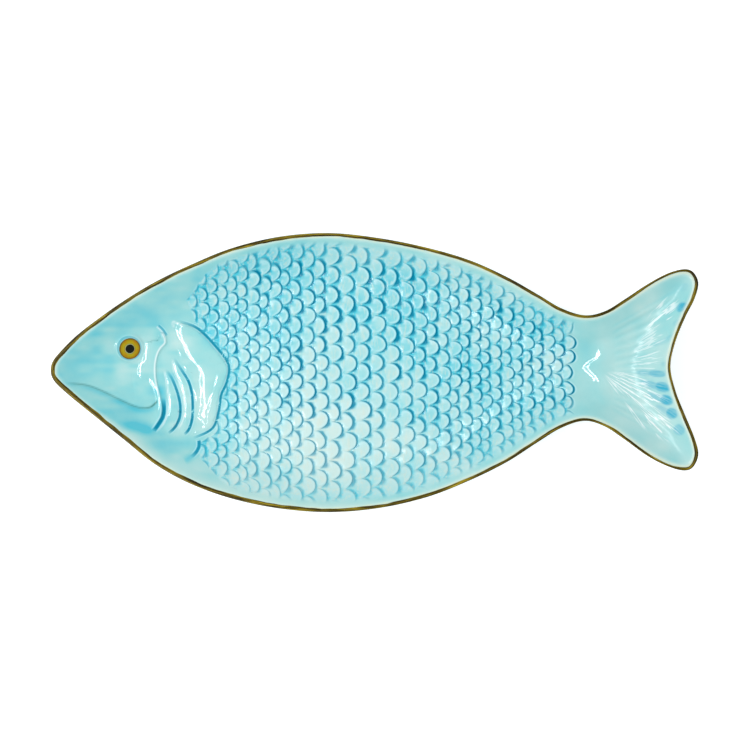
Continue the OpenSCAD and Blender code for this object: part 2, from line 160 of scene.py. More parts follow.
def nearestOn(p, line, closed=False):
    # distance, place along the line from 0 to 1, side of the line and nearest point
    b = np.roll(line, -1, axis=0) if closed else line[1:]
    a = line if closed else line[:-1]
    d = b - a
    span = (d * d).sum(1)
    best = np.full(len(p), 1e9)
    where, side, foot = np.zeros(len(p)), np.zeros(len(p)), np.zeros((len(p), 2))
    for i in range(len(a)):
        r = p - a[i]
        t = np.clip((r @ d[i]) / span[i], 0, 1)
        q = a[i] + t[:, None] * d[i]
        gap = np.hypot(*(p - q).T)
        closer = gap < best
        best = np.where(closer, gap, best)
        where = np.where(closer, (i + t) / len(a), where)
        side = np.where(closer, np.sign(r[:, 1] * d[i][0] - r[:, 0] * d[i][1]), side)
        foot[closer] = q[closer]
    return best, where, side, foot


def selectOnly(piece=None):
    if bpy.context.object and bpy.context.object.mode != "OBJECT":
        bpy.ops.object.mode_set(mode="OBJECT")
    bpy.ops.object.select_all(action="DESELECT")
    if piece:
        piece.select_set(True)
        bpy.context.view_layer.objects.active = piece


def shapedGrid(name, positions):
    # grid primitive whose points are moved to positions[row, column]
    rows, columns = positions.shape[:2]
    selectOnly()
    bpy.ops.mesh.primitive_grid_add(x_subdivisions=columns - 1, y_subdivisions=rows - 1, size=2)
    piece = bpy.context.object
    piece.name = piece.data.name = name
    flat = np.empty(len(piece.data.vertices) * 3)
    piece.data.vertices.foreach_get("co", flat)
    x, y, _ = flat.reshape(-1, 3).T
    column = np.rint((x + 1) / 2 * (columns - 1)).astype(int)
    row = np.rint((y + 1) / 2 * (rows - 1)).astype(int)
    piece.data.vertices.foreach_set("co", (positions[row, column] * mm).ravel())
    return piece, row, column


def storeOn(piece, name, values):
    layer = piece.data.attributes.new(name, "FLOAT", "POINT")
    layer.data.foreach_set("value", np.asarray(values, np.float32))


def weld(piece, distance=0.00002):
    selectOnly(piece)
    bpy.ops.object.mode_set(mode="EDIT")
    bpy.ops.mesh.select_all(action="SELECT")
    bpy.ops.mesh.remove_doubles(threshold=distance)
    bpy.ops.mesh.dissolve_degenerate(threshold=1e-6)
    bpy.ops.mesh.normals_make_consistent(inside=False)
    bpy.ops.object.mode_set(mode="OBJECT")
    bpy.ops.object.shade_smooth()


print("stage: columns of scales")
scales = {
    "columns": 35,
    "rows": 10,  # on either side of the middle
    "stepsRound": 12,  # mesh points round one scale
    "firstEdge": 0.209,
    "lastEdge": 0.809,
    "swell": 0.45,  # how much wider the columns are at their peak
    "peak": 0.46,
    "spread": 0.13,
    # height of a scale: share of the length, share of the width
    "rowPitch": [(0.2, 0.056), (0.29, 0.058), (0.36, 0.067), (0.46, 0.07),
                 (0.54, 0.068), (0.62, 0.057), (0.7, 0.052), (0.81, 0.055)],
    # where the scales begin: share of the width, share of the length
    "start": [(-0.45, 0.3), (-0.385, 0.26), (-0.313, 0.23), (-0.26, 0.224),
              (-0.215, 0.25), (-0.077, 0.266), (0.02, 0.276), (0.091, 0.258),
              (0.174, 0.222), (0.26, 0.207), (0.35, 0.235), (0.45, 0.29)],
    "bow": 0.95,  # depth of a scallop, in gaps between columns
    "bowVaries": 0.16,
    "roundness": 0.41,
    "shiftAlong": 1.35,
    "shiftAcross": 1.1,
    "leastGap": 0.8,
    "calmFrom": 3.8,  # no scallops nearer to the outline than this
    "calmReach": 4.0,
    "border": 1.6,
    "fade": 12.0,  # the relief is full this far inside the border
    "faintest": 0.12,
    "base": 0.15,
    "climb": 0.26,
    "droop": 0.14,
    "tallestGap": 8.0,
    "seed": 11,
    # places of the mesh lines across one scale, from the edge before it to its own free edge
    "linesAcross": [0, 0.045, 0.1, 0.18, 0.3, 0.44, 0.58, 0.72, 0.84, 0.92, 0.965, 1],
    "lastLine": 0.985,  # the line at 1 stands this far across, which leaves a riser
    "headLines": 118,
    "tailLines": 104,
    "overhang": 1.5,  # the first and last mesh line lie this far outside the platter
}
rng = np.random.default_rng(scales["seed"])
noiseGrids = rng.normal(size=(6, 64, 32))


def drift(p, layer, cell):
    # smooth random field over the plan, mostly between -1 and 1
    g = noiseGrids[layer]
    long, wide = g.shape
    u, v = (p / cell + [(long - 1) / 2, (wide - 1) / 2]).T
    i, j = np.floor(u).astype(int), np.floor(v).astype(int)
    fu, fv = smooth(u - i), smooth(v - j)
    i0, i1, j0, j1 = i % long, (i + 1) % long, j % wide, (j + 1) % wide
    return ((g[i0, j0] * (1 - fu) + g[i1, j0] * fu) * (1 - fv)
            + (g[i0, j1] * (1 - fu) + g[i1, j1] * fu) * fv)


count = scales["columns"]
middles = (np.arange(count - 1) + 0.5) / count
gap = 1 + scales["swell"] * hump((middles - scales["peak"]) / scales["spread"])
reach = np.concatenate([[0], np.cumsum(gap)]) / gap.sum()
edgeShare = scales["firstEdge"] + (scales["lastEdge"] - scales["firstEdge"]) * reach
edgeX = (edgeShare - 0.5) * platter["length"]
edgeGap = np.diff(edgeX, prepend=2 * edgeX[0] - edgeX[1])
pitch = np.interp(edgeShare, *zip(*scales["rowPitch"])) * platter["width"]
halfSteps = scales["rows"] * scales["stepsRound"]
steps = np.arange(-halfSteps, halfSteps + 1)
# what differs from scale to scale: shift along, shift across, darkness, bow
perScale = rng.uniform(-1, 1, size=(count, 8 * scales["rows"], 4))


def scallop(i):
    # free edge of one column: its points, how upright it is there, how dark, and its lean
    odd = (count - i) % 2
    u = steps / scales["stepsRound"] - odd / 2
    angle = np.pi * (u - np.floor(u)) - np.pi / 2  # from the lower corner to the upper one
    y = pitch[i] * (np.floor(u) + 0.5 + odd / 2 + scales["roundness"] * np.sin(angle)
                    + (0.5 - scales["roundness"]) * angle / (np.pi / 2))
    plain = np.stack([np.full(len(y), edgeX[i]), y], 1)
    calm = smooth((inset(plain) - scales["calmFrom"]) / scales["calmReach"])
    calm *= insideOf(plain, outline)
    bow = min(pitch[i] / 2, edgeGap[i] * scales["bow"]) * calm
    own = np.floor(u).astype(int) + 4 * scales["rows"]
    neighbour = own + np.where(angle > 0, 1, -1)
    share = 0.5 * np.abs(np.sin(angle)) ** 5  # two scales agree where they meet
    shift = perScale[i, own] * (1 - share)[:, None] + perScale[i, neighbour] * share[:, None]
    x = edgeX[i] - bow * (1 + scales["bowVaries"] * shift[:, 3]) * (1 - np.cos(angle))
    x = x + calm * scales["shiftAlong"] * shift[:, 0]
    y = y + calm * scales["shiftAcross"] * shift[:, 1]
    return np.stack([x, y], 1), np.cos(angle), shift[:, 2], np.sin(angle)


edges, edgeUp, edgeDark, edgeLean = map(np.array, zip(*[scallop(i) for i in range(count)]))
for i in range(1, count):  # an edge never crosses the one before it
    room = edges[i, :, 0] - edges[i - 1, :, 0] - scales["leastGap"]
    edges[i, :, 0] += (np.sqrt(room ** 2 + scales["leastGap"] ** 2) - room) / 2
first, last = edges[0], edges[-1]
noseX = -platter["length"] / 2 - scales["overhang"]
tailX = platter["length"] / 2 + scales["overhang"]
lines = []  # lines of mesh points, each with its column of scales and its place across it


def straightLine(x, i):
    return np.stack([np.full(len(steps), x), steps * pitch[i] / scales["stepsRound"]], 1)


for h in range(scales["headLines"]):
    t = h / scales["headLines"]
    closing = t * (1.6 - 0.6 * t)  # the lines lie closer together towards the gills
    straight = straightLine(noseX + (first[:, 0].min() - 1 - noseX) * closing, 0)
    lines.append((straight + (first - straight) * smooth((t - 0.8) / 0.2), 0, 0))
for i in range(1, count):
    for a in scales["linesAcross"]:
        whole = edges[i] - edges[i - 1]
        lines.append((edges[i - 1] + whole * min(a, scales["lastLine"]), i, a))
for h in range(scales["tailLines"]):
    t = h / (scales["tailLines"] - 1)
    straight = straightLine(last[:, 0].max() + 1 + (tailX - last[:, 0].max() - 1) * t, -1)
    lines.append((straight + (last - straight) * (1 - smooth(t / 0.1)), count, t))
lines, lineColumn, lineAcross = map(np.array, zip(*lines))
gridColumns, gridRows = lines.shape[:2]
points = lines.reshape(-1, 2)


def grown(mask):
    # what the mask holds and what lies beside it, along the first axis
    out = mask.copy()
    out[1:] |= mask[:-1]
    out[:-1] |= mask[1:]
    return out


shellEdge = outline + outlineIn * platter["shellInset"]
isInside = insideOf(points, shellEdge)
keep = grown(grown(isInside.reshape(gridColumns, gridRows)).T).T.ravel()
snap = keep & ~isInside
points[snap] = nearestOn(points[snap], shellEdge, closed=True)[3]
px, py = points.T
print("stage: points on the dish", int(keep.sum()))


def blank():
    return np.zeros(len(points))


rimGap, height = blank(), blank()
rimGap[keep] = inset(points[keep])
height[keep] = dishHeight(points[keep], rimGap[keep])
height[snap] = platter["lipTop"]

# scales: low where they come out from under the one before, crowned, high at the free edge
startShare = np.interp(py / platter["width"], *zip(*scales["start"]))
pastStart = px - (startShare - 0.5) * platter["length"]
field = np.minimum(rimGap - platter["lipWidth"] - scales["border"], pastStart * 1.8)
reliefField = np.minimum(field, pastStart * 0.9)
column, across = np.repeat(lineColumn, gridRows), np.repeat(lineAcross, gridRows)
inScales, inTail = (column > 0) & (column < count), column == count


def ownAndBefore(perEdge):
    # values at the free edge of a point's own column, and at the edge before it
    return (perEdge[np.clip(lineColumn, 0, count - 1)].ravel(),
            perEdge[np.clip(lineColumn - 1, 0, count - 1)].ravel())


xOwn, xBefore = ownAndBefore(edges[..., 0])
upOwn, upBefore = ownAndBefore(edgeUp)
darkOwn, darkBefore = ownAndBefore(edgeDark)
leanOwn, leanBefore = ownAndBefore(edgeLean)
gapHere = np.maximum(xOwn - xBefore, 0.4)
present = smooth(reliefField / 4) * inScales
strength = np.clip(reliefField / scales["fade"], scales["faintest"], 1) * smooth(reliefField / 4)
crown = scales["climb"] * across ** 2 / (across + 0.25) - scales["droop"] * across ** 2.5
crossways = 1 - 0.45 * (1 - upOwn) * smooth(across * 1.1)
lift = np.minimum(gapHere, scales["tallestGap"]) * strength * crown * crossways
relief = present * (scales["base"] + lift)

scaleInk = {  # pooled glaze beside each free edge
    "lineWidth": 1.75,
    "tips": 0.42,  # share of the width at the tips of a line
    "widthVaries": 0.22,
    "usualGap": 7.0,  # columns narrower than this have narrower lines
    "nearRim": 0.62,  # share of the darkness near the border
    "nearRimReach": 13.0,
    "acrossDish": ([-66, -51, -34, -15, 5], [0.52, 0.62, 0.8, 0.92, 1]),  # y, darkness
    "shadeStart": 1.0,
    "shadeReach": 1.9,
}
# pool counts widths of the line away from the edge, and poolDepth is how dark the line is
upright = np.where(inTail, upOwn, upBefore)
dark = np.where(inTail, darkOwn, darkBefore)
lean = np.where(inTail, leanOwn, leanBefore)
beyond = np.where(inTail, px - np.tile(last[:, 0], gridColumns), across * gapHere)
fullness = np.clip(0.96 * upright - 0.28 * lean, 0, 1)  # thickest a little below the middle
lineWidth = scaleInk["lineWidth"] * (scaleInk["tips"] + (1 - scaleInk["tips"]) * fullness ** 1.4)
lineWidth *= 1 + scaleInk["widthVaries"] * dark
lineWidth *= np.clip((gapHere / scaleInk["usualGap"]) ** 1.4, 0.45, 1.1)
fromEdge = 0.1 + beyond * np.clip(upright, 0.3, 1) / lineWidth
towardEdge = (1 - across) * gapHere * np.clip(upOwn, 0.3, 1) / scaleInk["lineWidth"]
towardEdge = 0.9 + towardEdge * 1.6
pool = np.where(inScales, np.minimum(fromEdge, towardEdge), np.where(inTail, fromEdge, 6))
region = np.interp(py, *scaleInk["acrossDish"])
region = np.maximum(region, 0.85 * smooth((px - 20) / 50) * smooth((py + 52) / 14))
ownSide = inScales & (towardEdge < fromEdge)
upInk = np.where(ownSide, upOwn, upright)
leanInk = np.where(ownSide, leanOwn, lean)
darkInk = np.where(ownSide, darkOwn, dark)
poolDepth = smooth(field / 3) * (column > 0) * region * (0.92 + 0.16 * darkInk)
poolDepth *= np.clip(field / scaleInk["nearRimReach"], scaleInk["nearRim"], 1)
poolDepth *= smooth((upInk - 0.02 - 0.26 * smooth(0.5 - 2 * leanInk)) / 0.36)
shadeReach = scaleInk["shadeReach"] + 1.5 * (1 - upright)
shadeInScale = smooth(field / 4) * inScales * hump(
    np.maximum(beyond - scaleInk["shadeStart"], 0) / shadeReach
    * np.clip(scaleInk["usualGap"] / gapHere, 0.8, 2.2))


def deeper(pool, depth, otherPool, otherDepth):
    # of two pools at each point, the one that shows more
    wins = depth * hump(pool) > otherDepth * hump(otherPool)
    return np.where(wins, pool, otherPool), np.where(wins, depth, otherDepth)


print("stage: head and tail relief")
head = {
    "rear": -80.0,  # the head's forms lie before this x
    # slope at which the glaze mirrors the strip light into the camera: at the middle, per mm of x
    "mirrorSlope": (0.204, 0.00049),
    "curves": {
        "coverFront": [(0.187, 0.181), (0.188, 0.134), (0.193, 0.088), (0.202, 0.027),
                       (0.2145, -0.0375), (0.2205, -0.091), (0.2205, -0.159),
                       (0.2145, -0.206), (0.207, -0.231)],
        "coverRear": [(0.194, 0.184), (0.224, 0.158), (0.25, 0.1), (0.272, 0.03),
                      (0.27, -0.0305), (0.261, -0.08), (0.257, -0.14), (0.247, -0.2),
                      (0.217, -0.234)],
        "coverCrest": [(0.19, 0.159), (0.198, 0.139), (0.2055, 0.11), (0.212, 0.077),
                       (0.221, 0.0445), (0.229, 0.025), (0.2335, 0.0025), (0.234, -0.0365),
                       (0.235, -0.069), (0.235, -0.102), (0.2335, -0.141), (0.2285, -0.17),
                       (0.2245, -0.199)],
        "coverRidge": [(0.258, 0.0285), (0.261, 0.0025), (0.2575, -0.0305), (0.2545, -0.0625),
                       (0.2495, -0.089), (0.247, -0.118), (0.243, -0.15), (0.2415, -0.183),
                       (0.235, -0.2155), (0.2275, -0.2285)],
        "coverTop": [(0.188, 0.16), (0.186, 0.178), (0.1885, 0.184), (0.197, 0.178),
                     (0.208, 0.168)],
        "cheekFront": [(0.16, 0.15), (0.147, 0.13), (0.137, 0.09), (0.134, 0.045),
                       (0.127, 0.015), (0.124, -0.02), (0.127, -0.06), (0.128, -0.105),
                       (0.128, -0.15), (0.126, -0.185), (0.132, -0.212)],
        "cheekRear": [(0.1675, 0.147), (0.173, 0.1425), (0.1775, 0.1235), (0.1775, 0.1035),
                      (0.169, 0.0805), (0.164, 0.052), (0.162, 0.0125), (0.1635, -0.0305),
                      (0.1675, -0.069), (0.171, -0.102), (0.172, -0.134), (0.17, -0.1605),
                      (0.1635, -0.186), (0.156, -0.21)],
        "cheekCrest": [(0.157, 0.14), (0.156, 0.12), (0.1495, 0.1035), (0.146, 0.0675),
                       (0.145, 0.041), (0.139, 0.0185), (0.1375, -0.0005), (0.1435, -0.017),
                       (0.1505, -0.014), (0.1565, -0.033), (0.1635, -0.0625), (0.1665, -0.098),
                       (0.165, -0.14), (0.16, -0.18)],
        "foldOneFront": [(0.173, 0.009), (0.176, -0.023), (0.179, -0.0735), (0.18, -0.1165),
                         (0.1785, -0.15), (0.173, -0.182), (0.165, -0.21)],
        "foldOneRear": [(0.1745, 0.0125), (0.185, -0.023), (0.1935, -0.0735),
                        (0.1975, -0.1165), (0.197, -0.159), (0.19, -0.195), (0.179, -0.218)],
        "foldTwoFront": [(0.1855, 0.052), (0.1895, 0.0055), (0.197, -0.0375), (0.203, -0.091),
                         (0.2045, -0.145), (0.2, -0.185), (0.19, -0.215)],
        "foldTwoRear": [(0.187, 0.055), (0.2005, 0.0055), (0.2115, -0.0375), (0.2165, -0.091),
                        (0.2165, -0.159), (0.2115, -0.202), (0.2035, -0.222)],
        "mouthLine": [(0.023, -0.0375), (0.054, -0.045), (0.0785, -0.066), (0.1035, -0.095),
                      (0.125, -0.118), (0.139, -0.127), (0.153, -0.1235), (0.162, -0.1055)],
        "lowerHook": [(0.227, -0.2415), (0.227, -0.2665), (0.222, -0.288), (0.213, -0.306),
                      (0.205, -0.317)],
        "upperHook": [(0.1635, 0.17), (0.1715, 0.152), (0.1775, 0.1305)],
    },
    "stretches": {  # parts of these curves: the curve, its first and its last point
        "cheekUpper": ("cheekRear", 0, 95), "cheekLower": ("cheekRear", 70, None),
        "cheekCorner": ("cheekRear", 85, None), "hookStart": ("lowerHook", 0, 30),
    },
    "plates": [  # front, rear, crest, steeper than the mirror, bend, width of the drop, ramp
        ("cheekFront", "cheekRear", "cheekCrest", 0.11, 0.045, 1.1, 0.07),
        ("coverFront", "coverRear", "coverCrest", 0.084, 0.038, 1.4, 0.07),
        ("foldOneFront", "foldOneRear", "foldOneFront", -0.04, 0.01, 0.9, 0.0),
        ("foldTwoFront", "foldTwoRear", "foldTwoFront", -0.04, 0.01, 0.9, 0.0),
    ],
    "rampReach": 9.0,
    "ridges": [  # curve, width, lift; the mouth is a groove
        ("coverRidge", 1.6, 0.32), ("cheekRear", 0.8, 0.15), ("coverTop", 0.8, 0.3),
        ("mouthLine", 0.8, -0.7),
    ],
    # pooled lines: curve, width, darkness, offset, and the share that fades at both ends
    "pools": [
        ("coverRear", 0.6, 0.85, 0.5, (0.15, 0.1)), ("cheekCorner", 0.95, 0.95, 0.6, (0.3, 0.15)),
        ("foldOneRear", 0.65, 0.85, 0.4, (0.3, 0.15)),
        ("foldTwoRear", 0.65, 0.9, 0.4, (0.28, 0.15)),
        ("hookStart", 0.8, 0.85, 0.3, (0.1, 0.4)), ("upperHook", 0.6, 0.5, 0.3, (0.2, 0.2)),
    ],
    "softBlue": [  # softer blue round them: curve, width, strength, offset
        ("coverRear", 2.0, 0.75, 1.0), ("cheekLower", 2.4, 0.8, 0.9),
        ("foldOneRear", 1.7, 0.7, 0.6), ("foldTwoRear", 1.7, 0.7, 0.6),
        ("lowerHook", 2.2, 0.9, 0.3), ("upperHook", 1.6, 0.4, 0.3), ("mouthLine", 1.7, 0.55, -1.5),
    ],
    "highlightLines": [  # painted highlights along the edges of the plates, where the glaze also runs thin, in the same order
        ("cheekUpper", 0.48, 0.85, -1.2), ("foldOneFront", 0.48, 0.6, 0.2),
        ("foldTwoFront", 0.48, 0.65, 0.2), ("coverTop", 0.48, 0.7, -0.4),
        ("upperHook", 0.48, 0.5, -0.9),
    ],
    "mouthInkWidth": 0.55,
}
curves = {name: openCurve(places) for name, places in head["curves"].items()}
for name, (whole, start, end) in head["stretches"].items():
    curves[name] = curves[whole][start:end]
headArea = keep & (px < head["rear"])
headPoints = points[headArea]
baseSlope = dishHeight(headPoints + [0.5, 0]) - dishHeight(headPoints - [0.5, 0])
mirrorSlope = head["mirrorSlope"][0] + head["mirrorSlope"][1] * headPoints[:, 0]


def within(front, rear):
    return insideOf(headPoints, np.vstack([curves[front], curves[rear][::-1]]))


def plate(front, rear, crest, steeper, bend, dropWidth, ramp):
    # one overlapping plate: steep where it starts, level past its crest, dropping at its rear
    reach = head["rampReach"]
    fromFront = nearestOn(headPoints, curves[front])[0]
    fromRear, place = nearestOn(headPoints, curves[rear])[:2]
    fromCrest, _, side, _ = nearestOn(headPoints, curves[crest])
    rampSlope = ramp * np.exp(-fromFront / reach)
    steepest = np.clip(mirrorSlope - baseSlope - rampSlope, 0.09, 0.4) + steeper
    past = fromCrest * side + max(steeper, 0) / bend
    past = np.minimum((past + np.sqrt(past ** 2 + 0.1)) / 2, steepest / bend)
    body = 0.12 + steepest * past - bend * past ** 2 / 2
    body += reach * ramp * (1 - np.exp(-fromFront / reach))
    body *= smooth((fromRear + 0.15) / dropWidth) * smooth(fromFront / 1.5 + 0.1)
    body *= smooth(place / 0.07) ** 0.5 * smooth((1 - place) / 0.2) ** 0.7
    return np.where(within(front, rear), body, 0)


def beside(name, width, offset=0.0, ends=(0.15, 0.15)):
    # widths between each point and a line beside the curve, and how full the line is there
    distance, place, side = nearestOn(headPoints, curves[name])[:3]
    full = smooth(place / ends[0]) * smooth((1 - place) / ends[1])
    return np.abs(distance * side - offset) / width, full


def softLines(table, ends):
    out = blank()
    for name, width, strength, offset in table:
        widths, full = beside(name, width, offset, ends)
        out[headArea] = np.maximum(out[headArea], strength * hump(widths) * full)
    return out


headRelief = np.zeros(len(headPoints))
for row in head["plates"]:
    headRelief = np.maximum(headRelief, plate(*row))
for name, width, ridgeLift in head["ridges"]:
    widths, full = beside(name, width)
    headRelief += ridgeLift * hump(widths) * full
headPool, headDepth = np.full(len(headPoints), 9.0), np.zeros(len(headPoints))
for name, width, darkness, offset, ends in head["pools"]:
    widths, full = beside(name, width, offset, ends)
    headPool, headDepth = deeper(widths, full * darkness, headPool, headDepth)
softBlue = softLines(head["softBlue"], (0.2, 0.15))
# painted highlights along the plate edges, partly glaze running thin there
highlightOutline = softLines(head["highlightLines"], (0.1, 0.2))
flatHere = relief[headArea] + np.minimum(headRelief, 0)
raisedHere = np.maximum(relief[headArea] * (headRelief < 0.25), headRelief)
relief[headArea] = np.where(headRelief > 0.02, raisedHere, flatHere)
uncovered = ~(within("coverFront", "coverRear") | within("cheekFront", "cheekRear"))
pool[headArea], poolDepth[headArea] = deeper(
    pool[headArea], poolDepth[headArea] * uncovered, headPool, headDepth)
shadeInScale[headArea] *= uncovered
fromMouth, alongMouth = nearestOn(headPoints, curves["mouthLine"])[:2]
mouthInk = blank()
mouthInk[headArea] = (hump(fromMouth / head["mouthInkWidth"]) * smooth(alongMouth / 0.08)
                      * (0.55 + 0.4 * smooth((alongMouth - 0.75) / 0.2)))

tail = {
    "front": 138.0,  # the tail's forms lie past this x
    "rays": 13,
    "rayLift": 0.6,
    "rayBase": 0.15,
    "rayInner": [(0.862, 0.155), (0.866, 0.12), (0.868, 0.075), (0.87, 0.03),
                 (0.87, -0.01), (0.868, -0.05), (0.866, -0.09), (0.862, -0.12)],
    "rayOuter": [(0.972, 0.3), (0.965, 0.22), (0.95, 0.125), (0.936, 0.05),
                 (0.936, -0.01), (0.947, -0.08), (0.96, -0.17), (0.97, -0.26)],
    "hub": (0.845, 0.015),  # where the rays come from
    "softer": 2.1,  # how much rougher the tail is, in steps from smooth glaze to scales
    "softerFrom": 142.0,
    "softerReach": 26.0,
    "dabs": [  # blue at the ends of the rays: place, half length, half width, how dark
        (0.9745, 0.2345, 3.6, 2.6, 0.95), (0.9365, -0.004, 5.6, 2.1, 0.75),
        (0.919, -0.002, 5.5, 1.9, 0.4), (0.945, -0.052, 4.7, 2.9, 1.0),
        (0.928, -0.044, 7.0, 2.1, 0.55), (0.951, -0.0985, 4.2, 3.0, 1.0),
        (0.938, -0.09, 6.5, 2.1, 0.5), (0.959, -0.1465, 3.7, 3.3, 0.9),
        (0.948, -0.136, 6.0, 2.2, 0.4), (0.971, -0.2045, 3.6, 3.4, 0.6),
        (0.967, 0.179, 3.0, 1.8, 0.22), (0.962, 0.13, 6.0, 1.9, 0.24),
        (0.9475, 0.1125, 7.0, 1.7, 0.16), (0.951, 0.032, 4.0, 1.6, 0.2),
        (0.9505, 0.002, 2.6, 1.4, 0.26), (0.978, 0.306, 3.0, 2.2, 0.16),
        (0.957, 0.227, 5.0, 1.7, 0.16), (0.985, -0.34, 3.0, 3.0, 0.16),
        (0.979, 0.37, 4.0, 3.0, 0.2),
    ],
    "streaks": [  # painted highlights, pale lines along the rays: place, half length, half width, direction in degrees, strength
        (0.905, -0.07, 20, 6, -24, 1.0), (0.93, -0.17, 19, 7, -38, 1.0),
        (0.892, -0.025, 13, 4, -12, 1.0), (0.945, 0.21, 13, 6, 52, 0.75),
        (0.92, 0.05, 9, 9, 5, 0.6), (0.93, 0.12, 10, 5, 30, 0.5),
    ],
}
rayInner, rayOuter = openCurve(tail["rayInner"], 40), openCurve(tail["rayOuter"], 40)
tailArea = keep & (px > tail["front"])
tailPoints = points[tailArea]
bestGap = np.full(len(tailPoints), 1e9)
rayPlace, rayOut = np.zeros(len(tailPoints)), np.zeros(len(tailPoints))
for i, along in enumerate(rayOuter - rayInner):
    r = tailPoints - rayInner[i]
    square = along @ along
    t = (r @ along) / square
    gapNow = np.abs(r[:, 0] * along[1] - r[:, 1] * along[0]) / math.sqrt(square)
    gapNow += 5 * np.maximum(-t, 0)
    closer = gapNow < bestGap
    bestGap = np.where(closer, gapNow, bestGap)
    rayPlace = np.where(closer, i / (len(rayInner) - 1), rayPlace)
    rayOut = np.where(closer, t, rayOut)
inRays = smooth(rayOut / 0.12) * smooth((1.04 - rayOut) / 0.2) * hump(np.maximum(bestGap - 0.4, 0))
rayRidge = 0.5 - 0.5 * np.cos(2 * np.pi * rayPlace * tail["rays"])
rayArch = np.sin(np.pi * np.clip(rayOut, 0, 1)) ** 0.7
relief[tailArea] += inRays * (tail["rayBase"] + tail["rayLift"] * rayRidge * rayArch)
rayValley, dabs, streaks = blank(), blank(), blank()
rayValley[tailArea] = inRays * (1 - rayRidge)
tailHub = plan(tail["hub"])[0]


def fromPatch(x, y, long, wide, aim=None):
    # 0 in the middle of an oval patch and 1 at its edge; it points away from the hub
    place = plan((x, y))[0]
    if aim is None:
        aim = (place - tailHub) / np.linalg.norm(place - tailHub)
    r = tailPoints - place
    return np.hypot((r @ aim) / long, (r[:, 0] * aim[1] - r[:, 1] * aim[0]) / wide)


for *patch, darkness in tail["dabs"]:
    here = darkness * smooth((1.25 - fromPatch(*patch)) / 0.55)
    dabs[tailArea] = np.maximum(dabs[tailArea], here)
# painted highlights: pale streaks where the tail rays would catch the light
for *patch, degrees, strongest in tail["streaks"]:
    aim = np.array([math.cos(math.radians(degrees)), math.sin(math.radians(degrees))])
    here = strongest * smooth((1.2 - fromPatch(*patch, aim)) / 0.5)
    streaks[tailArea] = np.maximum(streaks[tailArea], here)

waist = {  # swell of the floor just past the last scales
    "halfWidth": 6.4,
    "lift": 2.0,
    "halfLength": 22.0,
    "crest": [(0.85, -0.15), (0.8515, -0.085), (0.8515, -0.05), (0.8545, -0.023),
              (0.839, 0.0145), (0.844, 0.035), (0.857, 0.057), (0.8585, 0.081), (0.857, 0.15)],
    "unevenness": 0.05,  # of the whole floor
}
crestX, crestY = openCurve(waist["crest"]).T
swell = (px - np.interp(py, crestY, crestX)) / waist["halfWidth"]
swell = np.where(swell > 0, swell * 0.5, swell)
relief += keep * waist["lift"] * hump(swell) * smooth((waist["halfLength"] - np.abs(py)) / 9)
relief += keep * waist["unevenness"] * drift(points, 5, 8) * smooth((rimGap - 6) / 6)

eye = {
    "place": (0.12, 0.088),
    "irisRadius": 6.6,
    "irisHeight": 0.7,
    "pupilRadius": 2.75,
    "pupilHeight": 1.0,
    "padLift": 1.5,
    "padBorder": 0.9,
    "padSlope": 2.2,
    "sunk": 0.05,  # the discs sit this deep in the pad
    "ringDarkness": 0.3,
}
eyeAt = plan(eye["place"])[0]
probe = 0.34  # the slope under the eye is taken over this far
eyeZ, eyeZx, eyeZy = dishHeight(eyeAt + np.array([[0, 0], [probe, 0], [0, probe]]))
slopes = [(eyeZx - eyeZ) / probe, (eyeZy - eyeZ) / probe]
eyeNormal = Vector((-slopes[0], -slopes[1], 1)).normalized()
fromEye = points - eyeAt
padHeight = eyeZ + fromEye @ slopes + eye["padLift"] / eyeNormal.z
radial = np.hypot(*fromEye.T)
onPad = 1 - smooth((radial - eye["irisRadius"] - eye["padBorder"]) / eye["padSlope"])
relief = np.where(keep, relief * (1 - onPad) + (padHeight - height) * onPad, relief)
pool, poolDepth = deeper(np.abs(radial - eye["irisRadius"] - 0.35) / 0.55, eye["ringDarkness"],
                         pool, poolDepth)

